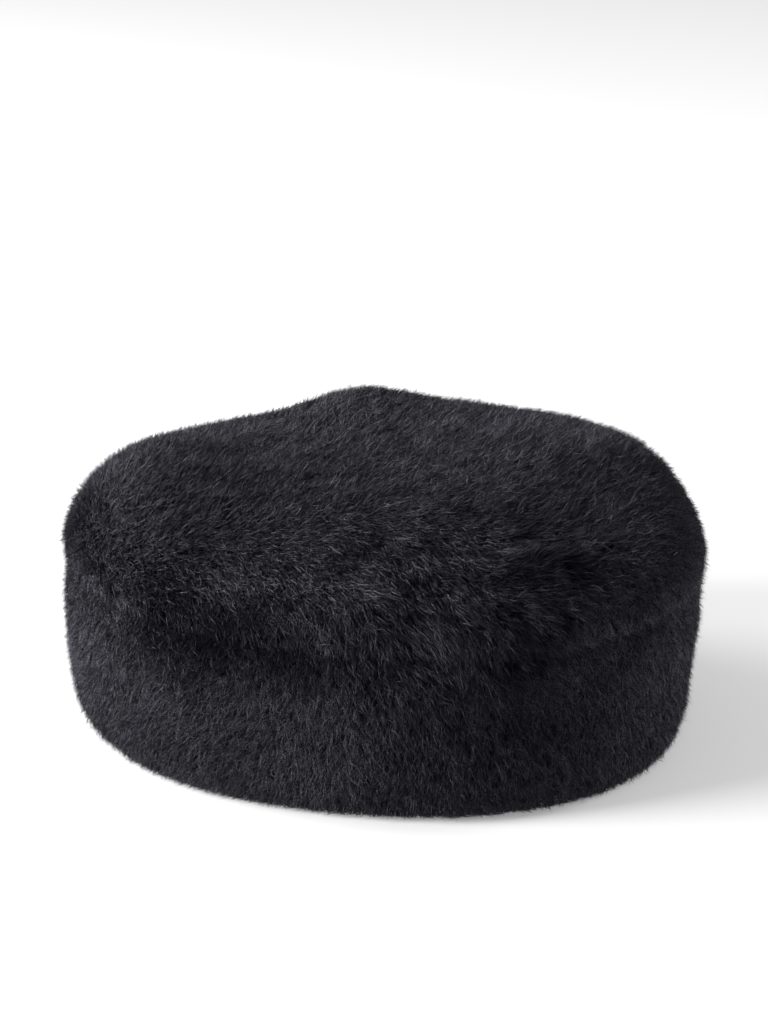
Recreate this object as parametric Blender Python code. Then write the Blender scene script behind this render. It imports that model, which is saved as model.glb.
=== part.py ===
"""A pillbox hat of black sheepskin with the pile outside: a flat tip sewn onto an upright side band.

Metres, +Z up. The hat stands on its hem with its front towards -Y, and the origin is on the surface
that it stands on, under the middle of the hat. Angles go round the hat from +X, anticlockwise from above.
"""

import math
import random
from collections import namedtuple

import bmesh
import bpy
from mathutils import Vector

# The head opening is an oval inside the skin, and its long axis runs from back left to front right.
HEAD_LENGTH = 0.192
HEAD_WIDTH = 0.178
HEAD_TURN = math.radians(-45.0)

# The wall is the skin with its combed pile.
SKIN = 0.0015
PILE = 0.0130
WALL = SKIN + PILE
SEAM_GAP = 0.0003

# Heights above the floor, and how far the pile stands out from the hem's outline.
WIDEST_HEIGHT = 0.062
SHOULDER = 0.026
TOP_HEIGHT = WIDEST_HEIGHT + SHOULDER
CEILING = TOP_HEIGHT - WALL
FLARE = 0.0065
BAND_FLARE = 0.0045

# The hem is rolled pile with a flat foot where it rests, as shares of the wall's thickness there.
HEM_ROLL = 0.009
HEM_INNER_ROLL = 0.004
FOOT_OUTER_SHARE = 0.60
FOOT_INNER_SHARE = 0.85

# The seam slopes from the skins, under the tip's overhanging pile, out to the edge.
SEAM_EDGE_HEIGHT = 0.0605
SEAM_EDGE_INSET = 0.0045
SEAM_BOW = 0.0030
TUCK_HEIGHT = 0.0555
TUCK_INSET = 0.0055
TUCK_SHARE = 1.0 / 3.0

# Locks of pile: their length along the nap, and how high their points and partings stand.
LOCK_LENGTH = 0.0100
LOCK_POINT = 0.0016
LOCK_PARTING = -0.0008
LOCK_STAGGER = 0.0013
FRINGE_HANG = 0.0016
FRINGE_DROP = 0.0022
FRINGE_SHORT_SHARE = 0.4
NAP_TURN = math.radians(45.0)

# The tip's flat is a grid of this many cells each way, and every ring has four times as many columns.
GRID_CELLS = 28
COLUMNS = 4 * GRID_CELLS
CELLS_PER_LOCK = 3
FLAT_EDGE_SHARE = 0.2

# Where the rings of the two round stretches lie, in degrees round them.
SHOULDER_TURNS = (76.0, 62.0, 49.0, 37.0, 25.0, 13.0, 1.0, -9.0)
HEM_TURNS = (0.0, 25.0, 50.0, 70.0)
RISE_FADE_TURN = 70.0

# Locks differ in fullness by these shares.
SIZE_SEED = 7
LEAST_LOCK = 0.55
FULLEST_LOCK = 1.2

# Swellings and hollows of the outline. Each fades over its spreads, and swell is outwards.
Swell = namedtuple("Swell", "name angle angle_spread height height_spread swell")
SWELLS = (
    Swell("front right fullness", -56.0, 30.0, 0.010, 0.055, 0.0095),
    Swell("front left corner", -132.0, 17.0, 0.000, 0.030, 0.0036),
    Swell("pinch under the front left edge", -118.0, 22.0, 0.054, 0.014, -0.0045),
    Swell("front bulge of the band", -98.0, 22.0, 0.024, 0.016, 0.0020),
    Swell("fullness of the left side", 180.0, 36.0, 0.022, 0.030, 0.0044),
    Swell("fullness of the right shoulder", 46.0, 22.0, 0.072, 0.030, 0.0022),
    Swell("tuck at the back left", 128.0, 30.0, 0.085, 0.030, -0.0010),
)

# Rises and dents of the flat. x and y are where, turn is the long axis's angle, and rise is upwards.
Rise = namedtuple("Rise", "name x y length width turn rise")
RISES = (
    Rise("tuft at the back", -0.008, 0.086, 0.018, 0.022, 0.0, 0.0060),
    Rise("rise along the back", 0.018, 0.084, 0.040, 0.030, 0.0, 0.0030),
    Rise("fullness at the back left", -0.082, 0.040, 0.034, 0.030, 115.0, 0.0022),
    Rise("fold left of the middle", -0.044, 0.040, 0.026, 0.009, 35.0, -0.0035),
    Rise("ridge behind the fold", -0.044, 0.056, 0.024, 0.009, 35.0, 0.0020),
    Rise("fullness at the back right", 0.084, 0.036, 0.056, 0.046, 118.0, 0.0058),
    Rise("fullness towards the front", 0.010, -0.035, 0.060, 0.035, 0.0, 0.0015),
    Rise("droop of the front edge", 0.000, -0.090, 0.050, 0.034, 0.0, -0.0070),
    Rise("droop of the front left edge", -0.064, -0.064, 0.045, 0.034, -45.0, -0.0050),
    Rise("droop of the front right edge", 0.064, -0.064, 0.045, 0.034, 45.0, -0.0055),
)


def smooth(share):
    """0 to 1 with level ends."""
    share = min(1.0, max(0.0, share))
    return share * share * (3.0 - 2.0 * share)


def oval(angle, wall):
    """Distance from the middle to the head opening's oval, grown by a wall."""
    along = math.cos(angle - HEAD_TURN) / (HEAD_LENGTH / 2 + wall)
    across = math.sin(angle - HEAD_TURN) / (HEAD_WIDTH / 2 + wall)
    return 1.0 / math.hypot(along, across)


def swelling(angle, height):
    """How far the table of swellings moves the outline out at a place on it."""
    total = 0.0
    for row in SWELLS:
        turn = math.remainder(angle - math.radians(row.angle), math.tau)
        off_angle = turn / math.radians(row.angle_spread)
        off_height = (height - row.height) / row.height_spread
        total += row.swell * math.exp(-(off_angle**2) - off_height**2)
    return total


def rising(x, y):
    """How far the table of rises lifts the flat at a place."""
    total = 0.0
    for row in RISES:
        turn = math.radians(row.turn)
        along = (x - row.x) * math.cos(turn) + (y - row.y) * math.sin(turn)
        across = (y - row.y) * math.cos(turn) - (x - row.x) * math.sin(turn)
        total += row.rise * math.exp(-((along / row.length) ** 2) - (across / row.width) ** 2)
    return total


def band_radius(angle, height):
    """The side band's outline, which widens upwards."""
    return oval(angle, WALL) + BAND_FLARE * smooth(height / TUCK_HEIGHT) + swelling(angle, height)


def tip_radius(angle):
    """The tip's widest outline."""
    return oval(angle, WALL) + FLARE + swelling(angle, WIDEST_HEIGHT)


def ring_point(angle, radius, height):
    return Vector((radius * math.cos(angle), radius * math.sin(angle), height))


def disc_share(column, row):
    """A grid's vertex carried onto the unit disc, with the grid's rows across the nap."""
    a = 2.0 * column / GRID_CELLS - 1.0
    b = 2.0 * row / GRID_CELLS - 1.0
    x = a * math.sqrt(1.0 - b * b / 2.0)
    y = b * math.sqrt(1.0 - a * a / 2.0)
    turn = NAP_TURN - math.pi / 2
    return Vector((x * math.cos(turn) - y * math.sin(turn), x * math.sin(turn) + y * math.cos(turn)))


def border_cells():
    """The grid's border vertices in order round the disc, which give every ring its columns."""
    n = GRID_CELLS
    bottom = [(i, 0) for i in range(n)]
    right = [(n, j) for j in range(n)]
    top = [(n - i, n) for i in range(n)]
    left = [(0, n - j) for j in range(n)]
    return bottom + right + top + left


def column_angles():
    shares = [disc_share(*cell) for cell in border_cells()]
    return [math.atan2(share.y, share.x) for share in shares]


class Locks:
    """Staggered locks of pile: even and odd columns take turns to be points and partings."""

    def __init__(self, seed):
        self.draw = random.Random(seed)
        self.sizes = {}
        self.starts = [self.draw.randrange(CELLS_PER_LOCK) for _ in range(COLUMNS)]

    def start(self, pair):
        """How many steps a pair of columns runs ahead, so that the locks stand in no rows."""
        return self.starts[pair]

    def size(self, row, lock):
        """Each lock's own fullness."""
        key = (row, lock)
        if key not in self.sizes:
            self.sizes[key] = self.draw.uniform(LEAST_LOCK, FULLEST_LOCK)
        return self.sizes[key]

    def at(self, column, step):
        """(height of the relief, how far the place is combed along the nap) at a column and a step."""
        row, part = divmod(step + self.start(column // 2), CELLS_PER_LOCK)
        pointed = (column + row) % 2 == 0
        size = self.size(row, (column + row) // 2)
        if part == 0:
            return LOCK_PARTING, 0.0
        rise = part / (CELLS_PER_LOCK - 1)
        if pointed:
            return LOCK_POINT * size * rise, LOCK_STAGGER * size * rise
        return LOCK_PARTING * rise, -LOCK_STAGGER * rise


def add_ring(shape, points):
    return [shape.verts.new(point) for point in points]


def join_rings(shape, lower, upper):
    """Quads between two rings of the same number of vertices."""
    count = len(lower)
    for i in range(count):
        j = (i + 1) % count
        shape.faces.new((lower[i], lower[j], upper[j], upper[i]))


def seam_ring(angles, share, offset):
    """A ring of the sloping seam: share 0 at the skins and 1 at the edge, offset along its normal."""
    points = []
    for angle in angles:
        inner = oval(angle, 0.0)
        outer = tip_radius(angle) - SEAM_EDGE_INSET
        run, fall = outer - inner, CEILING - SEAM_EDGE_HEIGHT
        tilt = math.hypot(run, fall)
        bow = SEAM_BOW * math.sin(math.pi * share)
        radius = inner + run * share + (bow + offset) * fall / tilt
        height = CEILING - fall * share + (bow + offset) * run / tilt
        points.append(ring_point(angle, radius, height))
    return points


def band_outer_rings(angles, locks):
    """The pile of the side band, from under the seam down to the hem's roll."""
    steps = round((TUCK_HEIGHT - HEM_ROLL) / (LOCK_LENGTH / CELLS_PER_LOCK))
    tuck = TUCK_INSET - (FLARE - BAND_FLARE)
    rings = []
    for step in range(1, steps):
        share = step / steps
        points = []
        for column, angle in enumerate(angles):
            relief, comb = locks.at(column, step - 1)
            height = TUCK_HEIGHT + (HEM_ROLL - TUCK_HEIGHT) * share - comb
            radius = band_radius(angle, height) + relief - tuck * (1.0 - smooth(share / TUCK_SHARE))
            points.append(ring_point(angle, radius, height))
        rings.append(points)
    return rings


def hem_radius(angle, height, share):
    """A radius at the hem that is a share of the wall's thickness inside the outline."""
    outer = band_radius(angle, height)
    return outer + (oval(angle, 0.0) - outer) * share


def hem_rings(angles):
    """The rolled hem: round outside, a flat foot, and a small round up to the skin side."""
    rings = []
    for turn in HEM_TURNS:
        roll = math.radians(turn)
        height = HEM_ROLL * (1.0 - math.sin(roll))
        share = FOOT_OUTER_SHARE * (1.0 - math.cos(roll))
        rings.append([ring_point(a, hem_radius(a, height, share), height) for a in angles])
    for share in (FOOT_OUTER_SHARE, FOOT_INNER_SHARE):
        rings.append([ring_point(a, hem_radius(a, 0.0, share), 0.0) for a in angles])
    rings.append([ring_point(a, oval(a, 0.0), HEM_INNER_ROLL) for a in angles])
    return rings


def make_side_band(angles):
    """The side band as one closed wall: seam, pile, hem and skin side."""
    shape = bmesh.new()
    rings = [seam_ring(angles, share, -SEAM_GAP / 2) for share in (0.0, 0.5, 1.0)]
    rings.append([ring_point(a, tip_radius(a) - TUCK_INSET - SEAM_GAP, TUCK_HEIGHT) for a in angles])
    rings += band_outer_rings(angles, Locks(SIZE_SEED))
    rings += hem_rings(angles)
    rings.append([ring_point(a, oval(a, 0.0), CEILING / 2) for a in angles])
    made = [add_ring(shape, points) for points in rings]
    for upper, lower in zip(made, made[1:] + made[:1]):
        join_rings(shape, lower, upper)
    return as_object("side_band", shape)


def flat_point(column, row, locks):
    """A vertex of the flat, with its locks combed along the nap."""
    share = disc_share(column, row)
    angle = math.atan2(share.y, share.x)
    reach = tip_radius(angle) - SHOULDER
    relief, comb = locks.at(column, row)
    inside = smooth((1.0 - share.length) / FLAT_EDGE_SHARE)
    x = share.x * reach + comb * math.cos(NAP_TURN) * inside
    y = share.y * reach + comb * math.sin(NAP_TURN) * inside
    return Vector((x, y, TOP_HEIGHT + rising(x, y) + relief * inside))


def shoulder_rings(angles, locks):
    """The round shoulder outside the flat, down to the points of the overhanging fringe."""
    rings = []
    for step, turn in enumerate(SHOULDER_TURNS):
        points = []
        for column, angle in enumerate(angles):
            relief, comb = locks.at(column, step + 1)
            roll = math.radians(turn) - comb / SHOULDER
            out = SHOULDER * (math.cos(roll) - 1.0) + relief * math.cos(roll)
            radius = tip_radius(angle) + out
            lift = rising(radius * math.cos(angle), radius * math.sin(angle)) * smooth(turn / RISE_FADE_TURN)
            height = WIDEST_HEIGHT + SHOULDER * math.sin(roll) + relief * math.sin(roll) + lift
            points.append(ring_point(angle, radius, height))
        rings.append(points)
    return rings


def fringe_ring(angles, locks):
    """The lowest points of the tip's pile, which hang over the seam as a ragged edge."""
    points = []
    for column, angle in enumerate(angles):
        drop = FRINGE_DROP * locks.size(-1, column // 2) * (1.0 if column % 2 else FRINGE_SHORT_SHARE)
        radius = tip_radius(angle) - SEAM_EDGE_INSET / 2
        points.append(ring_point(angle, radius, SEAM_EDGE_HEIGHT - FRINGE_HANG - drop))
    return points


def make_tip(angles):
    """The tip as one closed piece: flat, shoulder, overhanging fringe, seam and skin side."""
    shape = bmesh.new()
    locks = Locks(SIZE_SEED + 1)
    count = GRID_CELLS + 1
    grid = [[shape.verts.new(flat_point(i, j, locks)) for j in range(count)] for i in range(count)]
    for i in range(GRID_CELLS):
        for j in range(GRID_CELLS):
            shape.faces.new((grid[i][j], grid[i + 1][j], grid[i + 1][j + 1], grid[i][j + 1]))
    border = [grid[i][j] for i, j in border_cells()]
    rings = shoulder_rings(angles, locks)
    rings.append(fringe_ring(angles, locks))
    rings += [seam_ring(angles, share, SEAM_GAP / 2) for share in (1.0, 0.5, 0.0)]
    made = [border] + [add_ring(shape, points) for points in rings]
    for upper, lower in zip(made, made[1:]):
        join_rings(shape, lower, upper)
    shape.faces.new(list(reversed(made[-1])))
    return as_object("crown_tip", shape)


def as_object(name, shape):
    """A finished, outward-facing mesh as a named object in the scene."""
    bmesh.ops.triangulate(shape, faces=shape.faces, quad_method="SHORT_EDGE")
    bmesh.ops.recalc_face_normals(shape, faces=shape.faces)
    mesh = bpy.data.meshes.new(name)
    shape.to_mesh(mesh)
    shape.free()
    mesh.shade_smooth()
    made = bpy.data.objects.new(name, mesh)
    bpy.context.scene.collection.objects.link(made)
    return made


def pile_material(name, colour):
    """Matt dyed pile."""
    material = bpy.data.materials.new(name)
    material.use_nodes = True
    shader = material.node_tree.nodes["Principled BSDF"]
    shader.inputs["Base Color"].default_value = (*colour, 1.0)
    shader.inputs["Roughness"].default_value = 0.85
    shader.inputs["Metallic"].default_value = 0.0
    return material


def centre_on_origin(pieces):
    """Moves the pieces together so that the middle of their box is over the origin."""
    corners = [vertex.co for piece in pieces for vertex in piece.data.vertices]
    middle_x = (min(c.x for c in corners) + max(c.x for c in corners)) / 2
    middle_y = (min(c.y for c in corners) + max(c.y for c in corners)) / 2
    for piece in pieces:
        piece.location = (-middle_x, -middle_y, 0.0)


def main():
    for leftover in list(bpy.data.objects):
        bpy.data.objects.remove(leftover)
    angles = column_angles()
    tip = make_tip(angles)
    band = make_side_band(angles)
    tip.data.materials.append(pile_material("tip_pile", (0.020, 0.020, 0.024)))
    band.data.materials.append(pile_material("band_pile", (0.018, 0.018, 0.021)))
    centre_on_origin((tip, band))


main()
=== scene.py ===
"""The looks of a black sheepskin pillbox hat: two skins, the pile on them, and a plain studio."""

import math
from collections import namedtuple

import bpy
import numpy as np
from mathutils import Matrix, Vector, noise
from mathutils.bvhtree import BVHTree


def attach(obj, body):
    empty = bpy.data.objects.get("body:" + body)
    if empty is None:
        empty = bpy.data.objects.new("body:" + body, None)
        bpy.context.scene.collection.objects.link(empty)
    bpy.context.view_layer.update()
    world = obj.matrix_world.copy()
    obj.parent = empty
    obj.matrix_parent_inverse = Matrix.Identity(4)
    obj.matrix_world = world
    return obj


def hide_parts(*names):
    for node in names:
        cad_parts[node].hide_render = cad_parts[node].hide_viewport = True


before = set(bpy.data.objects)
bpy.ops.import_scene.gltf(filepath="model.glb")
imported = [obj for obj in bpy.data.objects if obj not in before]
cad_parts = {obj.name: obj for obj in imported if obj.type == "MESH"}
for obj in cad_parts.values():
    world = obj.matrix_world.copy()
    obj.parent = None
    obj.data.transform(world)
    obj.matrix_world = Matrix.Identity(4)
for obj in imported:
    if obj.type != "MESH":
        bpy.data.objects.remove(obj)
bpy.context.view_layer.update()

# Sizes shared with the solids, in metres.
WIDEST_HEIGHT = 0.062
SHOULDER = 0.026
CEILING = 0.0735
TOP_FROM = CEILING + 0.002

# How deep the ground of the pile lies under the solids' outer face, and where the two skins part.
TIP_DEPTH = 0.0040
BAND_DEPTH = 0.0042
TIP_EDGE_DEPTH = 0.0052
SEAM_INSET = 0.0072
SEAM_HEIGHT = 0.0620
SEAM_GAP = 0.0003

# How far the band's ground stands out under the seam: everywhere, and more at the front.
TUCK_FILL = 0.0030
FRONT_FILL = 0.0034
FRONT_FILL_ANGLE = -90.0
FRONT_FILL_SPREAD = 34.0

# How much wider the tip rolls over at the front than the solid does, as a share of its roll.
FRONT_ROLL = 0.55
FRONT_ROLL_ANGLE = -86.0
FRONT_ROLL_SPREAD = 52.0

# A shallow dip in the tip's far left edge.
BACK_DIP = 0.0018
BACK_DIP_X = -0.066
BACK_DIP_Y = 0.060
BACK_DIP_WIDTH = 0.032
BACK_DIP_DEPTH = 0.034

# The skins' rings: the vertices in one, and the squares that a cap is filled with along one side.
COLUMNS = 112
CAP_SPAN = 28

# The survey of the solids: its columns and steps, how far out its rays start, and the heights where
# the opening, the band's top and the band's hem are read.
SURVEY_COLUMNS = 224
SURVEY_STEP = 0.002
SURVEY_START = 0.2
OPENING_HEIGHT = 0.032
BAND_TOP = 0.053
HEM_HEIGHT = 0.012

# The plain round section that the skins are walked along before they're fitted: its reach at the
# opening, on the slope of the seam, at the seam's edge, at the widest row and at the tip's rim.
WALK_OPENING = 0.092
WALK_SLOPE = ((0.097, 0.0697), (0.101, 0.0658))
WALK_SEAM = 0.105
WALK_WIDEST = 0.107
WALK_RIM = 0.086
WALK_RIM_HEIGHT = 0.0828

# The angles of the rows on the tip's roll, in degrees.
ROLL_TURNS = (6, 14, 23, 32, 42, 52, 62, 72, 82)

# The band's ground stands out most at this height, less below it, and tucks in under the tip above.
SEAM_TUCK_HEIGHT = 0.052
SEAM_TUCK_SPREAD = 0.010
TUCKED_FROM = 0.0565
TUCK_STEEPNESS = 1.6

# The pile. A strand is two triangles, and no piece may have more than 200,000 triangles.
STRANDS_PER_PIECE = 92000
STRANDS_PER_WISP = 5
TIP_PIECES = 3
BAND_PIECES = 2
SEED = 21
BAND_SEED = SEED + 10

# How deep a strand's root lies, how near the floor a strand may come, the steepest angle that the
# pile stands at, in degrees, and the darkest and the lightest tone.
STRAND_DIP = 0.0006
STRAND_GROUND = 0.0003
STEEPEST = 88.0
DARKEST_TONE = 0.02
LIGHTEST_TONE = 0.94

# Locks: their width, how many times longer they are, which way they run, and where that changes.
LOCK_WIDTH = 0.0036
LOCK_LENGTH = 2.4
FLAT_RUN = Vector((0.92, 0.38, 0.0)).normalized()
FRONT_RUN = Vector((0.50, -0.50, -0.70)).normalized()
BAND_RUN = Vector((0.15, 0.0, -1.0)).normalized()
BAND_LOCKS_BELOW = 0.056
FRONT_LOCKS_AHEAD = -0.062

# Painted shade: the pile's colour is darkened at the hem, next to the floor, and at the seam under the
# tip's edge, less at the front, where the tip's pile hangs over it.
HEM_PAINTED_SHADE = 0.26
HEM_PAINTED_SHADE_SPREAD = 0.013
SEAM_PAINTED_SHADE = 0.13
SEAM_PAINTED_SHADE_HEIGHT = 0.0590
SEAM_PAINTED_SHADE_SPREAD = 0.0052
FRONT_LESS_PAINTED_SHADE = 0.08
FRONT_LESS_Y = -0.115
FRONT_LESS_SPREAD = 0.040

# The colours: painted shade at a strand's root, deep in the pile, the dark and the light end of its
# tone, and the dark and light of the skins.
PAINTED_ROOT_SHADE = (0.0022, 0.0020, 0.0042)
DARK = (0.0064, 0.0060, 0.0106)
LIGHT = (0.136, 0.131, 0.160)
UNDERWOOL = ((0.006, 0.006, 0.007), (0.012, 0.012, 0.014))
SUEDE = ((0.020, 0.019, 0.020), (0.034, 0.033, 0.035))
NAP_RELIEF = 0.0006

# How a strand's colour is made: how far up the painted shade at its root reaches, how much the tone
# counts, and the crimps along it, with the noise that starts and fills one and the light that is left
# between them.
PAINTED_ROOT_SHADE_RANGE = (0.25, 0.85)
TONE_GAIN = 1.3
CRIMPS = 18.0
CRIMP_PATTERNS = 90.0
CRIMP_RANGE = (0.46, 0.57)
BETWEEN_CRIMPS = 0.08
HAIR_ROUGHNESS = 0.50
HAIR_IOR = 1.5
HAIR_GLOSS = 0.12

# The photograph's camera: where the hem's middle lies in its 768 by 1024 pixels, and the scale there.
PHOTO_WIDTH = 768
PHOTO_HEIGHT = 1024
HEM_MIDDLE_X = 383.0
HEM_MIDDLE_Y = 711.5
PIXELS_PER_METRE = 2760.0
CAMERA_DISTANCE = 1.4
CAMERA_ELEVATION = math.radians(20.5)
SENSOR = 36.0

# The place that the lights face, and the strength of the light from all round.
LIT_PLACE = (0.0, 0.0, 0.05)
ROOM_LIGHT = 0.26


def smooth(share):
    """0 to 1 with level ends, for numbers and arrays."""
    share = np.clip(share, 0.0, 1.0)
    return share * share * (3.0 - 2.0 * share)


def unit(vectors):
    return vectors / np.maximum(np.linalg.norm(vectors, axis=-1, keepdims=True), 1e-12)


# Survey of the solids


def solid_tree(node):
    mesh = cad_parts[node].data
    places = [vertex.co for vertex in mesh.vertices]
    return BVHTree.FromPolygons(places, [tuple(face.vertices) for face in mesh.polygons])


def blurred(table, spread, axis, round_about):
    """A table smoothed along one axis, with its ends joined or held."""
    reach = int(3 * spread)
    weights = np.exp(-0.5 * (np.arange(-reach, reach + 1) / spread) ** 2)
    weights /= weights.sum()
    padding = [(0, 0)] * table.ndim
    padding[axis] = (reach, reach)
    padded = np.pad(table, padding, mode="wrap" if round_about else "edge")
    return np.apply_along_axis(lambda line: np.convolve(line, weights, mode="valid"), axis, padded)


class Outline:
    """The smoothed distance from the axis to a solid's outer or inner face, by angle and height."""

    def __init__(self, tree, low, high, outer=True, spread=4.0):
        self.low, self.count = low, max(1, round((high - low) / SURVEY_STEP)) + 1
        table = np.zeros((self.count, SURVEY_COLUMNS))
        for row in range(self.count):
            centre = Vector((0.0, 0.0, low + row * SURVEY_STEP))
            for column in range(SURVEY_COLUMNS):
                angle = math.tau * column / SURVEY_COLUMNS
                outward = Vector((math.cos(angle), math.sin(angle), 0.0))
                start, way = centre, outward
                if outer:
                    start, way = centre + outward * SURVEY_START, -outward
                hit = tree.ray_cast(start, way)[0]
                table[row, column] = math.hypot(hit.x, hit.y)
        table = blurred(table, spread, 1, True)
        self.table = blurred(table, 2.0, 0, False) if self.count > 1 else table

    def radius(self, angle, height):
        row = np.clip((height - self.low) / SURVEY_STEP, 0.0, self.count - 1.0)
        column = (angle / math.tau % 1.0) * SURVEY_COLUMNS
        i, j = int(row), int(column)
        up, right = min(i + 1, self.count - 1), (j + 1) % SURVEY_COLUMNS
        a, b = row - i, column - j
        near = self.table[i, j % SURVEY_COLUMNS] * (1 - b) + self.table[i, right] * b
        far = self.table[up, j % SURVEY_COLUMNS] * (1 - b) + self.table[up, right] * b
        return near * (1 - a) + far * a


class Flat:
    """The smoothed height of the tip's top by place."""

    REACH = 0.104
    CELLS = 104
    HELD = 0.088
    SPREAD = 1.6

    def __init__(self, tree):
        down = Vector((0.0, 0.0, -1.0))
        places = np.linspace(-self.REACH, self.REACH, self.CELLS + 1)
        table = np.zeros((self.CELLS + 1, self.CELLS + 1))
        for i, x in enumerate(places):
            for j, y in enumerate(places):
                held = min(1.0, self.HELD / max(math.hypot(x, y), 1e-6))
                hit = tree.ray_cast(Vector((x * held, y * held, SURVEY_START)), down)[0]
                table[i, j] = hit.z
        self.table = blurred(blurred(table, self.SPREAD, 0, False), self.SPREAD, 1, False)

    def height(self, x, y):
        i = np.clip((x + self.REACH) / (2 * self.REACH) * self.CELLS, 0.0, self.CELLS - 1e-6)
        j = np.clip((y + self.REACH) / (2 * self.REACH) * self.CELLS, 0.0, self.CELLS - 1e-6)
        a, b = int(i), int(j)
        s, t = i - a, j - b
        low = self.table[a, b] * (1 - t) + self.table[a, b + 1] * t
        high = self.table[a + 1, b] * (1 - t) + self.table[a + 1, b + 1] * t
        return low * (1 - s) + high * s


tip_tree = solid_tree("crown_tip")
band_tree = solid_tree("side_band")
tip_outline = Outline(tip_tree, 0.0625, 0.0665)
band_outline = Outline(band_tree, 0.001, BAND_TOP)
inner_outline = Outline(band_tree, 0.030, 0.034, outer=False, spread=1.0)
flat = Flat(tip_tree)


# The two skins

Ring = namedtuple("Ring", "reach height pile")


def walked_rings(name, rings):
    """A ring of vertices walked round a section by extruding, at each row's reach and height."""
    bpy.ops.object.select_all(action="DESELECT")
    first = rings[0]
    centre = (0, 0, first.height)
    bpy.ops.mesh.primitive_circle_add(vertices=COLUMNS, radius=first.reach, location=centre)
    piece = bpy.context.object
    piece.name = piece.data.name = name
    bpy.ops.object.mode_set(mode="EDIT")
    bpy.ops.mesh.select_all(action="SELECT")
    for before, ring in zip(rings, rings[1:]):
        rise = ring.height - before.height
        share = ring.reach / before.reach
        bpy.ops.mesh.extrude_region_move(TRANSFORM_OT_translate={"value": (0, 0, rise)})
        bpy.ops.transform.resize(value=(share, share, 1.0), center_override=(0, 0, 0))
    return piece


def close_section():
    """Joins the last ring to the first, for a wall that goes all the way round."""
    bpy.ops.mesh.select_all(action="DESELECT")
    bpy.ops.mesh.select_non_manifold()
    bpy.ops.mesh.bridge_edge_loops()
    finish_edit()


def close_caps(piece):
    """Fills the first and the last ring with a grid."""
    for low in (True, False):
        bpy.ops.mesh.select_all(action="DESELECT")
        bpy.ops.mesh.select_non_manifold()
        bpy.ops.object.mode_set(mode="OBJECT")
        mesh = piece.data
        vertices = mesh.vertices
        middle = sum(v.co.z for v in vertices if v.select) / sum(v.select for v in vertices)
        if low:
            for edge in mesh.edges:
                below = all(vertices[index].co.z < middle for index in edge.vertices)
                edge.select = edge.select and below
            for vertex in vertices:
                vertex.select = vertex.select and vertex.co.z < middle
        bpy.ops.object.mode_set(mode="EDIT")
        bpy.ops.mesh.fill_grid(span=CAP_SPAN)
    finish_edit()


def finish_edit():
    bpy.ops.mesh.select_all(action="SELECT")
    bpy.ops.mesh.normals_make_consistent(inside=False)
    bpy.ops.object.mode_set(mode="OBJECT")
    bpy.ops.object.transform_apply(location=True, rotation=True, scale=True)


def tip_rings():
    """The tip's section from the middle of its skin side, over the seam and shoulder, to the middle."""
    inside = (0.028, 0.045, 0.062, 0.078, 0.089, WALK_OPENING)
    rings = [Ring(reach, CEILING, False) for reach in inside]
    rings += [Ring(reach, height, False) for reach, height in WALK_SLOPE]
    rings.append(Ring(WALK_SEAM, SEAM_HEIGHT, True))
    rings.append(Ring(WALK_WIDEST, WIDEST_HEIGHT + 0.0002, True))
    curve = SHOULDER - TIP_DEPTH
    for turn in ROLL_TURNS:
        roll = math.radians(turn)
        reach, rise = curve * math.cos(roll), curve * math.sin(roll)
        rings.append(Ring(WALK_RIM + reach, WIDEST_HEIGHT + rise, True))
    shares = (1.0, 0.93, 0.86, 0.79, 0.72, 0.65, 0.58, 0.51, 0.44, 0.37, 0.31)
    rings += [Ring(WALK_RIM * share, WALK_RIM_HEIGHT, True) for share in shares]
    return rings


def bump(value, middle, spread):
    """1 at the middle, falling off smoothly on both sides."""
    return math.exp(-(((value - middle) / spread) ** 2))


def roll_share(angle):
    """How much wider the shoulder rolls over than the solid's, most at the front."""
    return 1.0 + FRONT_ROLL * bump(math.degrees(angle), FRONT_ROLL_ANGLE, FRONT_ROLL_SPREAD)


def back_dip(x, y):
    """How far the tip's top is let down at a place."""
    off_x = (x - BACK_DIP_X) / BACK_DIP_WIDTH
    off_y = (y - BACK_DIP_Y) / BACK_DIP_DEPTH
    return BACK_DIP * math.exp(-(off_x**2) - off_y**2)


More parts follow.
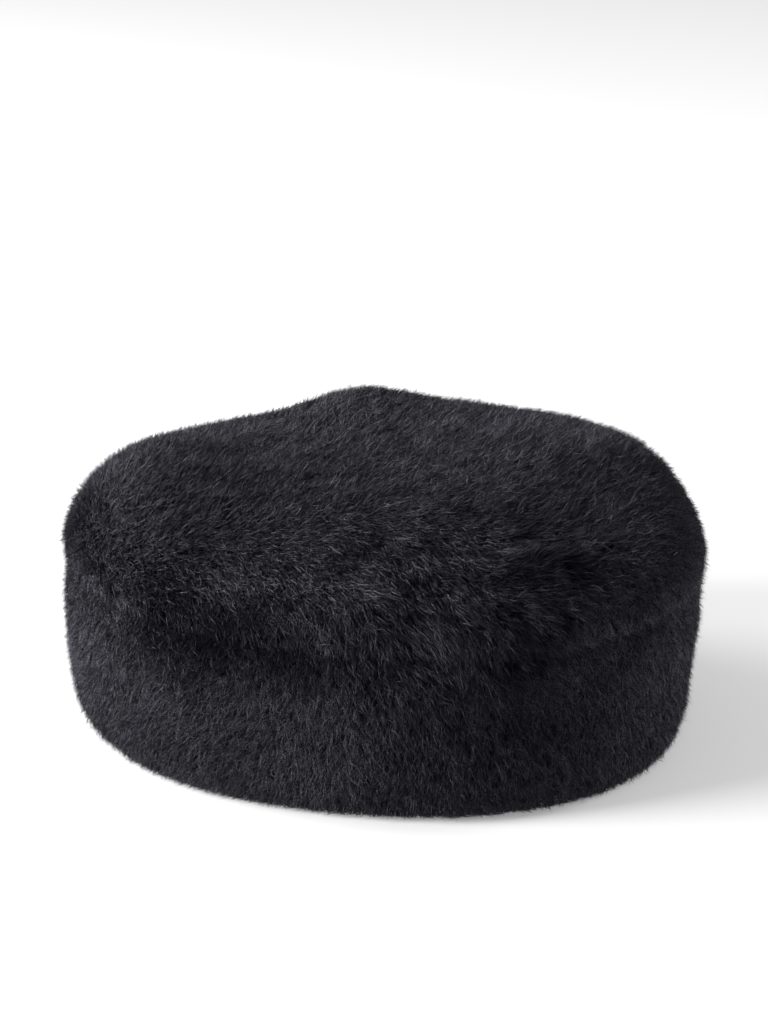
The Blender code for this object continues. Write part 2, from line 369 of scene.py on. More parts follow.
def fit_tip(piece):
    """Moves the walked rings onto the surveyed outline, dents and rises of the tip."""
    rings = tip_rings()
    seam_width = WALK_SEAM - WALK_OPENING
    for index, vertex in enumerate(piece.data.vertices):
        x, y, z = vertex.co
        angle = math.atan2(y, x)
        cosine, sine = math.cos(angle), math.sin(angle)
        inner = inner_outline.radius(angle, OPENING_HEIGHT)
        widest = tip_outline.radius(angle, WIDEST_HEIGHT)
        roll = SHOULDER * roll_share(angle)
        rim = widest - roll
        reach = math.hypot(x, y)
        row = index // COLUMNS
        if row >= len(rings):
            if z < TOP_FROM:
                reach *= inner / WALK_OPENING
            else:
                reach *= rim / WALK_RIM
                z = flat.height(reach * cosine, reach * sine) - TIP_DEPTH
        elif z < CEILING + 1e-5 and not rings[row].pile:
            if reach <= WALK_OPENING:
                reach = reach * inner / WALK_OPENING
            else:
                seam = np.clip((reach - WALK_OPENING) / seam_width, 0.0, 1.0)
                reach = inner + (widest - SEAM_INSET - inner) * seam
        elif rings[row].reach == WALK_SEAM:
            reach = widest - SEAM_INSET
        elif rings[row].reach == WALK_WIDEST:
            reach = widest - TIP_EDGE_DEPTH
        elif rings[row].reach > WALK_RIM:
            lift = flat.height(rim * cosine, rim * sine) - (WIDEST_HEIGHT + SHOULDER)
            rise = (z - WIDEST_HEIGHT) / (SHOULDER - TIP_DEPTH)
            z += lift * float(smooth(math.degrees(math.asin(min(1.0, rise))) / 70.0))
            reach = rim + (reach - WALK_RIM) * (roll - TIP_DEPTH) / (SHOULDER - TIP_DEPTH)
        else:
            reach *= rim / WALK_RIM
            z = flat.height(reach * cosine, reach * sine) - TIP_DEPTH
        x, y = reach * cosine, reach * sine
        if z > TOP_FROM:
            z -= back_dip(x, y)
        vertex.co = (x, y, z)
    piece.data.update()


def band_rings():
    """The band's section from the seam's inner edge, down outside, under the hem and up inside."""
    rings = [Ring(WALK_OPENING, CEILING - SEAM_GAP, False)]
    rings += [Ring(reach, height - SEAM_GAP, False) for reach, height in WALK_SLOPE]
    rings.append(Ring(WALK_SEAM, SEAM_HEIGHT - SEAM_GAP, True))
    rings += [Ring(0.1065, height, True) for height in (0.0600, 0.0570)]
    side = (0.052, 0.046, 0.040, 0.034, 0.028, 0.022, 0.016)
    rings += [Ring(WALK_WIDEST, height, True) for height in side]
    hem = ((0.1065, 0.0105), (0.1047, 0.0058), (0.1010, 0.0026))
    hem += ((0.0975, 0.0015), (0.0950, 0.0018), (0.0935, 0.0036))
    rings += [Ring(reach, height, True) for reach, height in hem]
    rings += [Ring(WALK_OPENING, height, False) for height in (0.0080, 0.020, 0.040, 0.060)]
    return rings


def tuck_fill(angle):
    """How far the band's ground stands out under the seam, most at the front."""
    return TUCK_FILL + FRONT_FILL * bump(math.degrees(angle), FRONT_FILL_ANGLE, FRONT_FILL_SPREAD)


def fit_band(piece):
    """Moves the walked rings onto the surveyed outline and opening of the band."""
    rings = band_rings()
    for index, vertex in enumerate(piece.data.vertices):
        x, y, z = vertex.co
        angle = math.atan2(y, x)
        inner = inner_outline.radius(angle, OPENING_HEIGHT)
        ground = band_outline.radius(angle, min(z, BAND_TOP)) - BAND_DEPTH
        edge = tip_outline.radius(angle, WIDEST_HEIGHT) - SEAM_INSET
        ring = rings[index // COLUMNS]
        if not ring.pile:
            share = (ring.reach - WALK_OPENING) / (WALK_SEAM - WALK_OPENING)
            reach = inner + (edge - inner) * share
        elif z > TUCKED_FROM:
            share = (SEAM_HEIGHT - z) / (SEAM_HEIGHT - SEAM_TUCK_HEIGHT)
            share = float(smooth(TUCK_STEEPNESS * share))
            reach = edge + (ground + tuck_fill(angle) - edge) * share
        elif z > HEM_HEIGHT:
            reach = ground + tuck_fill(angle) * bump(z, SEAM_TUCK_HEIGHT, SEAM_TUCK_SPREAD)
        else:
            share = (ring.reach - WALK_OPENING) / (WALK_WIDEST - WALK_OPENING)
            reach = inner + (band_outline.radius(angle, HEM_HEIGHT) - BAND_DEPTH - inner) * share
        vertex.co = (reach * math.cos(angle), reach * math.sin(angle), z)
    piece.data.update()


def finish_skin(piece, rings, pile, suede):
    """Gives the pile side and the skin side their materials, and rounds the mesh."""
    piece.data.materials.append(suede)
    piece.data.materials.append(pile)
    vertices = piece.data.vertices
    for face in piece.data.polygons:
        rows = [index // COLUMNS for index in face.vertices]
        if max(rows) >= len(rings):
            on_pile = vertices[face.vertices[0]].co.z > TOP_FROM
        else:
            on_pile = all(rings[row].pile for row in rows)
        face.material_index = int(on_pile)
    bpy.context.view_layer.objects.active = piece
    round_off = piece.modifiers.new("rounding", "SUBSURF")
    round_off.levels = round_off.render_levels = 1
    bpy.ops.object.modifier_apply(modifier=round_off.name)
    piece.data.shade_smooth()


# The pile

Combing = namedtuple("Combing", "place x y z spread across deep up lift")
COMBING = (
    Combing("back of the flat", 0.00, 0.060, 0.088, 0.045, 0.80, 0.55, 0.00, 40),
    Combing("middle of the flat", 0.00, 0.000, 0.088, 0.040, 0.82, 0.57, 0.00, 36),
    Combing("right of the flat", 0.06, 0.000, 0.088, 0.035, 0.95, 0.30, 0.00, 36),
    Combing("front of the flat", 0.00, -0.044, 0.088, 0.022, 0.85, -0.35, 0.00, 30),
    Combing("left of the flat", -0.07, 0.010, 0.088, 0.035, 0.80, 0.05, 0.00, 50),
    Combing("front edge of the flat", 0.01, -0.074, 0.087, 0.027, 0.30, -0.98, -0.35, 0),
    Combing("front shoulder", 0.00, -0.100, 0.074, 0.026, 0.50, -0.50, -0.70, 12),
    Combing("front left shoulder", -0.06, -0.085, 0.076, 0.028, 0.55, -0.50, -0.60, 22),
    Combing("front right shoulder", 0.06, -0.090, 0.076, 0.028, 0.62, -0.40, -0.65, 24),
    Combing("left shoulder", -0.105, -0.020, 0.076, 0.035, 0.46, -0.52, -0.12, 44),
    Combing("back left shoulder", -0.088, 0.056, 0.072, 0.035, 0.40, 0.45, -0.40, 58),
    Combing("right shoulder", 0.105, -0.01, 0.076, 0.035, 0.50, -0.10, -0.80, 48),
    Combing("back shoulder", 0.01, 0.105, 0.076, 0.035, 0.55, 0.50, -0.45, 46),
    Combing("front left of the band", -0.06, -0.095, 0.030, 0.035, -0.40, 0.10, -0.75, 56),
    Combing("front of the band", 0.01, -0.110, 0.030, 0.035, 0.05, 0.00, -0.95, 44),
    Combing("front right of the band", 0.08, -0.080, 0.030, 0.035, 0.10, 0.00, -0.95, 38),
    Combing("left of the band", -0.11, 0.000, 0.030, 0.040, 0.00, -0.25, -0.80, 56),
    Combing("right of the band", 0.11, 0.010, 0.030, 0.040, 0.08, 0.10, -0.90, 42),
    Combing("back of the band", 0.00, 0.110, 0.030, 0.050, -0.10, 0.00, -0.90, 52),
)

# Ruffles: the place, its x, y and z, the spread, how much more the pile stands up, its shade and how
# far its locks part. The shade column is painted light and shade: the pile's colour is lightened where
# light catches rims, ridges and bumps, and darkened in hollows, dimples and other shaded places.
Ruffle = namedtuple("Ruffle", "place x y z spread lift shade parting")
RUFFLES_WITH_PAINTED_LIGHT = (
    Ruffle("left rim", -0.106, -0.028, 0.054, 0.034, -8, 0.44, 0.0),
    Ruffle("left end of the shoulder", -0.110, 0.000, 0.074, 0.028, 0, 0.62, 0.0),
    Ruffle("left of the shoulder's bump", -0.092, -0.055, 0.077, 0.016, 0, 0.04, 0.0),
    Ruffle("front left edge of the flat", -0.050, -0.072, 0.086, 0.024, -14, 0.00, 0.0),
    Ruffle("bump of the left shoulder", -0.060, -0.084, 0.079, 0.016, -8, 0.64, 0.4),
    Ruffle("ridge above the hollow", -0.025, -0.103, 0.077, 0.015, -8, 0.76, 0.5),
    Ruffle("wisps right of the middle", 0.026, -0.110, 0.068, 0.014, -8, 0.20, 0.6),
    Ruffle("upper hollow at the front left", -0.076, -0.077, 0.066, 0.016, 14, -0.64, -0.1),
    Ruffle("hollow at the front left", -0.060, -0.090, 0.062, 0.017, 14, -0.80, -0.1),
    Ruffle("hollow's middle", -0.034, -0.104, 0.062, 0.015, 12, -0.68, -0.1),
    Ruffle("hollow's right end", -0.020, -0.107, 0.061, 0.014, 4, -0.28, 0.0),
    Ruffle("dimple in the ridge", -0.034, -0.101, 0.075, 0.009, 8, -0.10, 0.2),
    Ruffle("dimple at the front", 0.006, -0.107, 0.077, 0.012, 4, -0.24, 0.2),
    Ruffle("front streaks", 0.018, -0.088, 0.083, 0.032, 0, -0.14, 0.7),
    Ruffle("front of the flat", -0.004, -0.060, 0.088, 0.028, -8, -0.26, 0.1),
    Ruffle("left of the flat", -0.068, -0.002, 0.088, 0.042, 0, -0.38, 0.0),
    Ruffle("front left of the flat", -0.062, -0.046, 0.088, 0.026, 0, -0.20, 0.0),
    Ruffle("back left of the flat", -0.024, 0.040, 0.088, 0.022, 0, -0.18, 0.0),
    Ruffle("right of the flat", 0.062, -0.006, 0.090, 0.046, -4, -0.22, 0.25),
    Ruffle("right end of the flat", 0.082, 0.000, 0.087, 0.018, 0, -0.32, 0.0),
    Ruffle("right of the flat's middle", 0.036, 0.000, 0.089, 0.018, 0, 0.18, 0.0),
    Ruffle("back right shoulder", 0.094, 0.034, 0.080, 0.026, 20, 0.10, 0.0),
    Ruffle("back left shoulder", -0.090, 0.050, 0.068, 0.028, -6, 0.06, 0.0),
    Ruffle("front right of the flat", 0.068, -0.052, 0.088, 0.032, 0, -0.28, 0.0),
    Ruffle("front right edge", 0.050, -0.076, 0.086, 0.019, 2, -0.34, 0.3),
    Ruffle("front right shoulder", 0.054, -0.086, 0.081, 0.024, 5, -0.20, 0.4),
    Ruffle("front streaks at the right", 0.042, -0.074, 0.085, 0.016, 26, -0.30, 0.3),
    Ruffle("right of the wisps", 0.064, -0.093, 0.067, 0.016, -4, 0.42, 0.0),
    Ruffle("back of the flat", 0.010, 0.035, 0.090, 0.035, -4, 0.14, 0.2),
    Ruffle("far edge at the left", -0.042, 0.078, 0.088, 0.034, -12, 0.50, 0.0),
    Ruffle("far edge at the tuft", 0.002, 0.090, 0.094, 0.028, 0, 0.46, 0.1),
    Ruffle("far edge at the right", 0.062, 0.060, 0.088, 0.032, 0, 0.24, 0.2),
    Ruffle("under the front right wisps", 0.048, -0.104, 0.070, 0.014, 8, -0.18, 0.4),
    Ruffle("right end of the shoulder", 0.114, -0.004, 0.070, 0.024, 0, 0.75, 0.0),
    Ruffle("right of the shoulder", 0.098, -0.052, 0.066, 0.024, 0, 0.34, 0.0),
    Ruffle("right side", 0.096, -0.064, 0.048, 0.028, -4, 0.15, 0.0),
    Ruffle("left of the hem", -0.074, -0.078, 0.032, 0.026, -4, 0.11, 0.0),
    Ruffle("left end of the hem", -0.100, -0.045, 0.016, 0.028, 0, -0.12, 0.0),
    Ruffle("middle of the band", -0.032, -0.104, 0.032, 0.026, -4, 0.36, 0.0),
    Ruffle("band at the middle", 0.018, -0.110, 0.050, 0.026, 0, -0.28, 0.0),
    Ruffle("band right of the middle", 0.050, -0.104, 0.044, 0.028, 6, -0.12, 0.0),
)

# A coat of strands: their length and its spread, how wide a wisp is and how much it gathers at its
# end, and the width of a strand.
Coat = namedtuple("Coat", "length length_spread wisp_radius wisp_gather width")
TIP_COAT = Coat(0.0066, 0.05, 0.00075, 0.25, 0.00029)
BAND_COAT = Coat(0.0064, 0.05, 0.00075, 0.25, 0.00029)

# Slow changes from place to place: how strong, how wide a patch is, and which pattern.
Drift = namedtuple("Drift", "amount size pattern")
SWIRL = Drift(0.40, 0.022, 1)
FINE_SWIRL = Drift(0.20, 0.0045, 2)
LIFT_DRIFT = Drift(9.0, 0.012, 3)
FINE_LIFT_DRIFT = Drift(8.0, 0.0040, 6)
TONE_DRIFT = Drift(0.12, 0.016, 5)


def pile_faces(piece):
    """(corners, corner normals) of the triangles of a skin's pile side."""
    mesh = piece.data
    mesh.calc_loop_triangles()
    count = len(mesh.loop_triangles)
    corners = np.empty(count * 3, dtype=np.int32)
    mesh.loop_triangles.foreach_get("vertices", corners)
    side = np.empty(count, dtype=np.int32)
    mesh.loop_triangles.foreach_get("material_index", side)
    places = np.empty(len(mesh.vertices) * 3)
    mesh.vertices.foreach_get("co", places)
    normals = np.empty(len(mesh.vertices) * 3)
    mesh.vertices.foreach_get("normal", normals)
    corners = corners.reshape(-1, 3)[side == 1]
    return places.reshape(-1, 3)[corners], normals.reshape(-1, 3)[corners]


def scattered(places, normals, count, draw):
    """Evenly scattered points on triangles, with their normals."""
    sides = np.cross(places[:, 1] - places[:, 0], places[:, 2] - places[:, 0])
    area = np.linalg.norm(sides, axis=1) / 2
    upto = np.cumsum(area) / area.sum()
    picks = (np.arange(count) + draw.random(count)) / count
    face = np.minimum(np.searchsorted(upto, picks), len(area) - 1)
    a, b = draw.random(count), draw.random(count)
    over = a + b > 1.0
    a[over], b[over] = 1.0 - a[over], 1.0 - b[over]
    shares = np.stack([1.0 - a - b, a, b], axis=1)[:, :, None]
    return (places[face] * shares).sum(axis=1), unit((normals[face] * shares).sum(axis=1))


def combed(places):
    """The nap's direction and the angle that the pile stands at, from the table of combing."""
    table = np.array([row[1:] for row in COMBING])
    off = places[:, None, :] - table[None, :, 0:3]
    weight = np.exp(-(off**2).sum(axis=2) / table[None, :, 3] ** 2) + 1e-6
    weight /= weight.sum(axis=1, keepdims=True)
    return weight @ table[:, 4:7], weight @ table[:, 7]


def ruffled_with_painted_light(places):
    """How much more the pile stands up, how much painted light and shade lighten or darken it, and how
    far its locks part.
    """
    table = np.array([row[1:] for row in RUFFLES_WITH_PAINTED_LIGHT])
    off = places[:, None, :] - table[None, :, 0:3]
    weight = np.exp(-(off**2).sum(axis=2) / table[None, :, 3] ** 2)
    lift, shade, parting = (weight @ table[:, 4:7]).T
    return lift, shade, np.clip(0.15 + parting, 0.0, 1.0)


def drifting(places, drift):
    """A smooth random number at each place, up to about the drift's amount on both sides of 0."""
    shift = Vector((drift.pattern * 3.1, drift.pattern * 1.7, drift.pattern * 2.3))
    numbers = [noise.noise(Vector(place) / drift.size + shift) for place in places]
    return drift.amount * np.array(numbers)


def in_locks(places):
    """The way from each place to the midline of its lock, and the lock's tone from about -1 to 1."""
    ways = np.empty((len(places), 3))
    tones = np.empty(len(places))
    for index, place in enumerate(places):
        if place[2] < BAND_LOCKS_BELOW:
            run = BAND_RUN
        elif place[1] < FRONT_LOCKS_AHEAD:
            run = FRONT_RUN
        else:
            run = FLAT_RUN
        spot = Vector(place)
        spot = (spot - run * (spot.dot(run) * (1.0 - 1.0 / LOCK_LENGTH))) / LOCK_WIDTH
        middle = noise.voronoi(spot)[1][0]
        way = (middle - spot) * LOCK_WIDTH
        ways[index] = way - run * way.dot(run)
        tones[index] = 1.8 * noise.noise(middle * 7.7)
    return ways, tones


def turned(vectors, axes, angles):
    """Vectors turned about unit axes."""
    c, s = np.cos(angles)[:, None], np.sin(angles)[:, None]
    along = (vectors * axes).sum(axis=-1, keepdims=True)
    return vectors * c + np.cross(axes, vectors) * s + axes * along * (1 - c)


def painted_hem_and_seam_shade(places):
    """Painted shade: how much darker the pile's colour is made at the hem and at the seam."""
    y, z = places[:, 1], places[:, 2]
    seam = SEAM_PAINTED_SHADE - FRONT_LESS_PAINTED_SHADE * np.exp(-(((y - FRONT_LESS_Y) / FRONT_LESS_SPREAD) ** 2))
    painted_hem_shade = HEM_PAINTED_SHADE * np.exp(-((z / HEM_PAINTED_SHADE_SPREAD) ** 2))
    return painted_hem_shade + seam * np.exp(-(((z - SEAM_PAINTED_SHADE_HEIGHT) / SEAM_PAINTED_SHADE_SPREAD) ** 2))


def spread_to(values):
    """A row for each strand from a row for each wisp."""
    return np.repeat(values, STRANDS_PER_WISP, axis=0)


def grow(name, ground, coat, seed):
    """One piece of pile: wisps of strands that rise from the ground, lie along the nap and gather."""
    draw = np.random.default_rng(seed)
    wisps = STRANDS_PER_PIECE // STRANDS_PER_WISP
    count = wisps * STRANDS_PER_WISP
    place, normal = scattered(*ground, wisps, draw)
    # The ruffles' shade is painted light and shade: lighter where light catches rims, ridges and bumps,
    # darker in hollows, dimples and other shaded places.
    more_lift, shade, parting = ruffled_with_painted_light(place)
    lock_way, lock_tone = in_locks(place)
    lock_way -= normal * (lock_way * normal).sum(axis=1, keepdims=True)

    # Which way each wisp lies, how steeply it stands, and how long and bent it is.
    nap, lift = combed(place)
    nap = nap - normal * (nap * normal).sum(axis=1, keepdims=True)
    swirl = drifting(place, SWIRL) + (1.0 + parting) * drifting(place, FINE_SWIRL)
    nap = turned(nap, normal, swirl + draw.normal(0.0, 0.12, wisps))
    lift = lift + more_lift + drifting(place, LIFT_DRIFT) + drifting(place, FINE_LIFT_DRIFT)
    lift = np.radians(np.minimum(lift + draw.normal(0.0, 4.0, wisps), STEEPEST))
    standing = smooth(np.degrees(lift) / 45.0)
    length = 0.88 + 0.78 * parting + coat.length_spread * draw.normal(0.0, 0.7, wisps)
    length = coat.length * length
    bend = np.radians(8.0 + 12.0 * standing + draw.normal(0.0, 4.0, wisps))
    curl = draw.normal(0.0, 0.40, wisps) * (1.0 - 0.75 * parting)

    # How light it is: its own tone that differs at random, with painted light and shade from the
    # ruffles and painted shade at the hem and the seam.
    tone = 0.5 + shade + drifting(place, TONE_DRIFT) + lock_tone * (0.03 + 0.30 * parting)
    tone -= painted_hem_and_seam_shade(place)
    tone += draw.normal(0.0, 0.04, wisps)

    # The lower and the upper half of the wisp's middle line.
    across = np.cross(normal, unit(nap))

    def ahead(angle, turn):
        way = nap * np.cos(turn)[:, None] + across * np.sin(turn)[:, None]
        return unit(normal * np.sin(angle)[:, None] + way * np.cos(angle)[:, None])

    half_length = (length * 0.5)[:, None]
    rise = ahead(lift + bend, np.zeros(wisps)) * half_length
    reach = rise + ahead(lift - bend, curl) * half_length
    gather = (0.15 + 0.65 * parting)[:, None] * lock_way

    # The strands round that line, closer together at their ends.
    share = spread_to(draw.uniform(0.90, 1.05, wisps)) * draw.uniform(0.86, 1.05, count)
    share = share[:, None]
    off = draw.normal(0.0, coat.wisp_radius, (count, 2))
    off = spread_to(unit(nap)) * off[:, :1] * 1.4 + spread_to(across) * off[:, 1:]
    shake = draw.normal(0.0, 0.00045, (count, 3))
    ground_place, upward = spread_to(place) + off, spread_to(normal)
    closer = spread_to(gather) - coat.wisp_gather * off
    root = ground_place - upward * STRAND_DIP
    middle = ground_place + spread_to(rise) * share + 0.4 * closer + shake
    end = ground_place + spread_to(reach) * share + closer - 0.6 * shake
    loose = spread_to(0.00035 + 0.00065 * standing)
    end += draw.normal(0.0, 1.0, (count, 3)) * loose[:, None]

    # Each strand is a thin blade, turned at random about its own line.
    way = unit(end - middle)
    side = turned(unit(np.cross(way, upward)), way, draw.uniform(-1.5, 1.5, count))
    half = (coat.width / 2 * draw.uniform(0.6, 1.25, count))[:, None]
    points = np.stack([root, middle - side * half, middle + side * half, end], axis=1)
    lowest = STRAND_GROUND + 0.0006 * draw.random((count, 1))
    points[:, :, 2] = np.maximum(points[:, :, 2], lowest)
    tone = spread_to(tone) + draw.normal(0.0, 0.15, count)
    return strands_object(name, points, np.clip(tone, DARKEST_TONE, LIGHTEST_TONE))


def strands_object(name, points, tone):
    """Two triangles a strand, root to middle to end, on a map of tone, with its painted light and
    shade, across and length up.
    """
    count = len(points)
    first = 4 * np.arange(count)[:, None]
    corners = np.concatenate([first + (0, 2, 1), first + (1, 2, 3)], axis=1).astype(np.int32)
    mesh = bpy.data.meshes.new(name)
    mesh.vertices.add(4 * count)
    mesh.vertices.foreach_set("co", points.astype(np.float32).ravel())
    mesh.loops.add(6 * count)
    mesh.loops.foreach_set("vertex_index", corners.ravel())
    mesh.polygons.add(2 * count)
    mesh.polygons.foreach_set("loop_start", np.arange(0, 6 * count, 3, dtype=np.int32))
    mesh.update(calc_edges=True)
    mesh.shade_smooth()
    ends = np.array([(0.0, 0.0), (-0.0008, 0.5), (0.0008, 0.5), (0.0, 1.0)])
    place = np.stack([np.repeat(tone[:, None], 4, axis=1), np.zeros((count, 4))], axis=2) + ends[None]
    place = place.reshape(-1, 2)[corners.ravel()]
    layer = mesh.uv_layers.new(name="OFBake")
    layer.uv.foreach_set("vector", place.astype(np.float32).ravel())
    made = bpy.data.objects.new(name, mesh)
    bpy.context.scene.collection.objects.link(made)
    return made


# Materials


def strand_shade_group():
    """Node group: a strand's colour from its tone, the place along it and the crimps in it, with
    painted shade towards its root.
    """
    group = bpy.data.node_groups.new("strand shade", "ShaderNodeTree")
    for name in ("Painted Root Shade", "Dark", "Light"):
        group.interface.new_socket(name, in_out="INPUT", socket_type="NodeSocketColor")
    for name in ("Tone And Painted Light", "Along", "Crimps"):
        group.interface.new_socket(name, in_out="INPUT", socket_type="NodeSocketFloat")
    group.interface.new_socket("Colour", in_out="OUTPUT", socket_type="NodeSocketColor")
    nodes, links = group.nodes, group.links
    given = nodes.new("NodeGroupInput")
    given_out = nodes.new("NodeGroupOutput")
    across = nodes.new("ShaderNodeMath")
    across.operation = "MULTIPLY"
    across.inputs[1].default_value = CRIMP_PATTERNS
    along = nodes.new("ShaderNodeMath")
    along.operation = "MULTIPLY"
    place = nodes.new("ShaderNodeCombineXYZ")
    crimp = nodes.new("ShaderNodeTexNoise")
    crimp.noise_dimensions = "2D"
    crimp.inputs["Scale"].default_value = 1.0
    crimp.inputs["Detail"].default_value = 1.0
    crimp_ramp = nodes.new("ShaderNodeMapRange")
    crimp_ramp.interpolation_type = "SMOOTHSTEP"
    crimp_ramp.inputs["From Min"].default_value = CRIMP_RANGE[0]
    crimp_ramp.inputs["From Max"].default_value = CRIMP_RANGE[1]
    crimp_ramp.inputs["To Min"].default_value = BETWEEN_CRIMPS
    gain = nodes.new("ShaderNodeMath")
    gain.operation = "MULTIPLY"
    gain.inputs[1].default_value = TONE_GAIN
    shade = nodes.new("ShaderNodeMath")
    shade.operation = "MULTIPLY"
    tone_mix = nodes.new("ShaderNodeMix")
    tone_mix.data_type = "RGBA"
    # Painted shade: the colour darkens towards the strand's root, deep in the pile.
    painted_root_shade_ramp = nodes.new("ShaderNodeMapRange")
    painted_root_shade_ramp.interpolation_type = "SMOOTHSTEP"
    painted_root_shade_ramp.inputs["From Min"].default_value = PAINTED_ROOT_SHADE_RANGE[0]
    painted_root_shade_ramp.inputs["From Max"].default_value = PAINTED_ROOT_SHADE_RANGE[1]
    painted_root_shade_mix = nodes.new("ShaderNodeMix")
    painted_root_shade_mix.data_type = "RGBA"
    links.new(given.outputs["Tone And Painted Light"], across.inputs[0])
    links.new(given.outputs["Along"], along.inputs[0])
    links.new(given.outputs["Crimps"], along.inputs[1])
    links.new(across.outputs["Value"], place.inputs["X"])
    links.new(along.outputs["Value"], place.inputs["Y"])
    links.new(place.outputs["Vector"], crimp.inputs["Vector"])
    links.new(crimp.outputs["Fac"], crimp_ramp.inputs["Value"])
    links.new(given.outputs["Tone And Painted Light"], gain.inputs[0])
    links.new(gain.outputs["Value"], shade.inputs[0])
    links.new(crimp_ramp.outputs["Result"], shade.inputs[1])
    links.new(shade.outputs["Value"], tone_mix.inputs[0])
    links.new(given.outputs["Dark"], tone_mix.inputs[6])
    links.new(given.outputs["Light"], tone_mix.inputs[7])
    links.new(given.outputs["Along"], painted_root_shade_ramp.inputs["Value"])
    links.new(painted_root_shade_ramp.outputs["Result"], painted_root_shade_mix.inputs[0])
    links.new(given.outputs["Painted Root Shade"], painted_root_shade_mix.inputs[6])
    links.new(tone_mix.outputs[2], painted_root_shade_mix.inputs[7])
    links.new(painted_root_shade_mix.outputs[2], given_out.inputs["Colour"])
    return group


def strand_material(name, group):
    """Dull black hair, with its colour, painted light and shade included, from the strand's place on
    the map.
    """
    material = bpy.data.materials.new(name)
    material.use_nodes = True
    nodes, links = material.node_tree.nodes, material.node_tree.links
    shader = nodes["Principled BSDF"]
    shader.inputs["Roughness"].default_value = HAIR_ROUGHNESS
    shader.inputs["IOR"].default_value = HAIR_IOR
    shader.inputs["Specular IOR Level"].default_value = HAIR_GLOSS
    uv = nodes.new("ShaderNodeUVMap")
    uv.uv_map = "OFBake"
    parts = nodes.new("ShaderNodeSeparateXYZ")
    shade = nodes.new("ShaderNodeGroup")
    shade.node_tree = group
    shade.inputs["Painted Root Shade"].default_value = (*PAINTED_ROOT_SHADE, 1)
    shade.inputs["Dark"].default_value = (*DARK, 1)
    shade.inputs["Light"].default_value = (*LIGHT, 1)
    shade.inputs["Crimps"].default_value = CRIMPS
    links.new(uv.outputs["UV"], parts.inputs["Vector"])
    links.new(parts.outputs["X"], shade.inputs["Tone And Painted Light"])
    links.new(parts.outputs["Y"], shade.inputs["Along"])
    links.new(shade.outputs["Colour"], shader.inputs["Base Color"])
    return material


def nap_group():
    """Node group: cloudy nap of suede or underwool, as a mask and a height."""
    group = bpy.data.node_groups.new("short nap", "ShaderNodeTree")
    for name, value in (("Cloud Scale", 40.0), ("Nap Scale", 900.0)):
        socket = group.interface.new_socket(name, in_out="INPUT", socket_type="NodeSocketFloat")
        socket.default_value = value
    group.interface.new_socket("Clouds", in_out="OUTPUT", socket_type="NodeSocketFloat")
    group.interface.new_socket("Height", in_out="OUTPUT", socket_type="NodeSocketFloat")
    nodes, links = group.nodes, group.links
    given = nodes.new("NodeGroupInput")
    given_out = nodes.new("NodeGroupOutput")
    where = nodes.new("ShaderNodeTexCoord")
    clouds = nodes.new("ShaderNodeTexNoise")
    clouds.inputs["Detail"].default_value = 4.0
    fibres = nodes.new("ShaderNodeTexNoise")
    fibres.inputs["Detail"].default_value = 6.0
    fibres.inputs["Roughness"].default_value = 0.7
    both = nodes.new("ShaderNodeMath")
    both.operation = "ADD"
    links.new(where.outputs["Object"], clouds.inputs["Vector"])
    links.new(where.outputs["Object"], fibres.inputs["Vector"])
    links.new(given.outputs["Cloud Scale"], clouds.inputs["Scale"])
    links.new(given.outputs["Nap Scale"], fibres.inputs["Scale"])
    links.new(clouds.outputs["Fac"], given_out.inputs["Clouds"])
    links.new(clouds.outputs["Fac"], both.inputs[0])
    links.new(fibres.outputs["Fac"], both.inputs[1])
    links.new(both.outputs["Value"], given_out.inputs["Height"])
    return group


def nap_material(name, group, colours, roughness, relief_strength, clouds, fibres):
    """Matt suede or underwool with cloudy shade and a fine nap."""
    dark, light = colours
    material = bpy.data.materials.new(name)
    material.use_nodes = True
    nodes, links = material.node_tree.nodes, material.node_tree.links
    shader = nodes["Principled BSDF"]
    shader.inputs["Roughness"].default_value = roughness
    nap = nodes.new("ShaderNodeGroup")
    nap.node_tree = group
    nap.inputs["Cloud Scale"].default_value = clouds
    nap.inputs["Nap Scale"].default_value = fibres
    mix = nodes.new("ShaderNodeMix")
    mix.data_type = "RGBA"
    mix.inputs[6].default_value = (*dark, 1)
    mix.inputs[7].default_value = (*light, 1)
    relief = nodes.new("ShaderNodeBump")
    relief.inputs["Strength"].default_value = relief_strength
    relief.inputs["Distance"].default_value = NAP_RELIEF
    links.new(nap.outputs["Clouds"], mix.inputs[0])
    links.new(mix.outputs[2], shader.inputs["Base Color"])
    links.new(nap.outputs["Height"], relief.inputs["Height"])
    links.new(relief.outputs["Normal"], shader.inputs["Normal"])
    return material


# The studio


def plain_material(name, colour, roughness, glow):
    """One even colour, lit a little from within so that the floor stays white."""
    material = bpy.data.materials.new(name)
    material.use_nodes = True
    shader = material.node_tree.nodes["Principled BSDF"]
    shader.inputs["Base Color"].default_value = (*colour, 1)
    shader.inputs["Roughness"].default_value = roughness
    shader.inputs["Emission Color"].default_value = (1, 1, 1, 1)
    shader.inputs["Emission Strength"].default_value = glow
    return material


def softbox(name, place, size, power):
    """A round area light that faces the hat's middle."""
    light = bpy.data.lights.new(name, "AREA")
    light.shape = "DISK"
    light.size = size
    light.energy = power
    made = bpy.data.objects.new(name, light)
    bpy.context.scene.collection.objects.link(made)
    made.location = place
    ahead = Vector(LIT_PLACE) - Vector(place)
    made.rotation_euler = ahead.to_track_quat("-Z", "Y").to_euler()


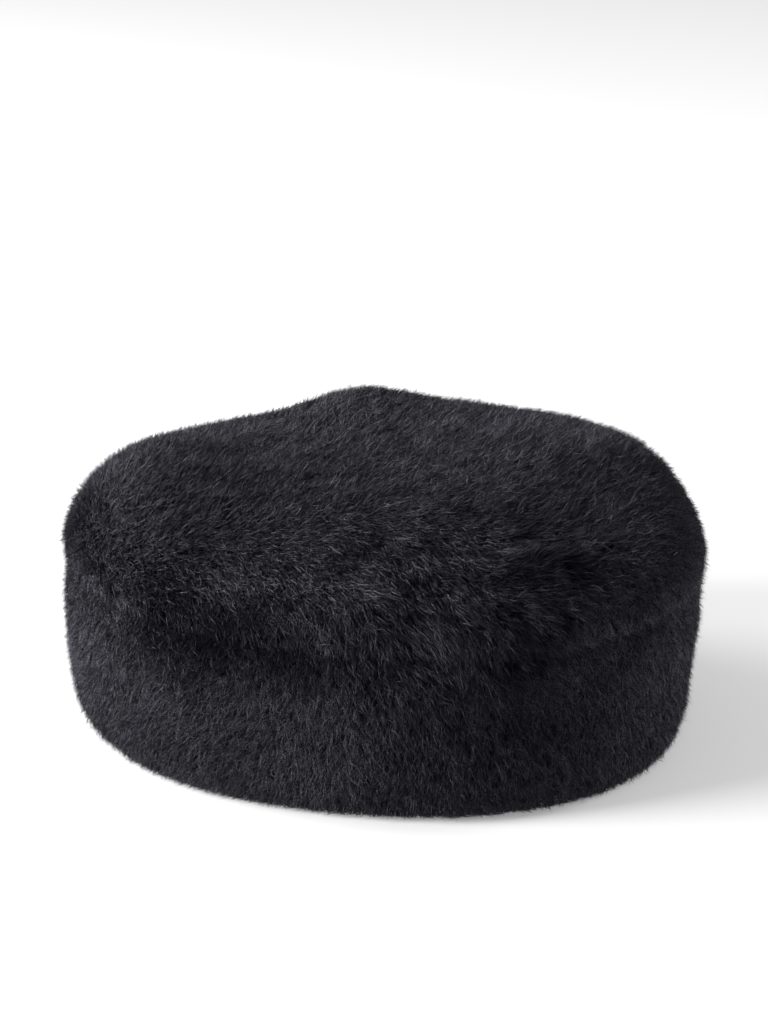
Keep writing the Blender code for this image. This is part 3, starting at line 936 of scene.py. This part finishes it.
def make_studio():
    """A pale floor, a soft key light from the left, two soft lights from behind and a white room."""
    bpy.ops.object.select_all(action="DESELECT")
    bpy.ops.mesh.primitive_plane_add(size=16.0, location=(0, 0, 0))
    floor = bpy.context.object
    floor.name = "floor"
    floor.data.materials.append(plain_material("pale floor", (0.86, 0.86, 0.86), 0.8, 0.30))
    softbox("key", (-1.90, -0.68, 0.84), 1.2, 72.0)
    softbox("back left", (-1.4, 0.62, 0.30), 0.9, 38.0)
    softbox("back right", (1.45, 0.40, 0.30), 0.9, 17.0)
    world = bpy.data.worlds.new("studio")
    world.use_nodes = True
    background = world.node_tree.nodes["Background"]
    background.inputs["Color"].default_value = (1, 1, 1, 1)
    background.inputs["Strength"].default_value = ROOM_LIGHT
    bpy.context.scene.world = world
    bpy.context.scene.view_settings.view_transform = "Standard"


def make_camera():
    """The photograph's viewpoint, aimed at the hem's middle and shifted to its place in the picture."""
    camera = bpy.data.cameras.new("camera")
    camera.sensor_width = SENSOR
    camera.lens = PIXELS_PER_METRE * CAMERA_DISTANCE / PHOTO_HEIGHT * SENSOR
    camera.shift_x = (PHOTO_WIDTH / 2 - HEM_MIDDLE_X) / PHOTO_HEIGHT
    camera.shift_y = (HEM_MIDDLE_Y - PHOTO_HEIGHT / 2) / PHOTO_HEIGHT
    made = bpy.data.objects.new("camera", camera)
    bpy.context.scene.collection.objects.link(made)
    ahead = Vector((0.0, math.cos(CAMERA_ELEVATION), -math.sin(CAMERA_ELEVATION)))
    made.location = -CAMERA_DISTANCE * ahead
    made.rotation_euler = ahead.to_track_quat("-Z", "Y").to_euler()
    bpy.context.scene.camera = made


def main():
    shade = strand_shade_group()
    nap = nap_group()
    tip_hair = strand_material("tip pile", shade)
    band_hair = strand_material("band pile", shade)
    underwool = nap_material("underwool", nap, UNDERWOOL, 0.9, 0.8, 120.0, 1500.0)
    suede = nap_material("suede", nap, SUEDE, 0.85, 0.35, 45.0, 1400.0)

    tip_skin = walked_rings("tip_skin", tip_rings())
    close_caps(tip_skin)
    fit_tip(tip_skin)
    finish_skin(tip_skin, tip_rings(), underwool, suede)
    band_skin = walked_rings("band_skin", band_rings())
    close_section()
    fit_band(band_skin)
    finish_skin(band_skin, band_rings(), underwool, suede)

    pieces = [(tip_skin, "crown_tip"), (band_skin, "side_band")]
    tip_ground, band_ground = pile_faces(tip_skin), pile_faces(band_skin)
    for number in range(TIP_PIECES):
        piece = grow(f"tip_pile_{number + 1}", tip_ground, TIP_COAT, SEED + number)
        piece.data.materials.append(tip_hair)
        pieces.append((piece, "crown_tip"))
    for number in range(BAND_PIECES):
        piece = grow(f"band_pile_{number + 1}", band_ground, BAND_COAT, BAND_SEED + number)
        piece.data.materials.append(band_hair)
        pieces.append((piece, "side_band"))
    for piece, node in pieces:
        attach(piece, "root")
        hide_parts(node)
    make_studio()
    make_camera()


main()
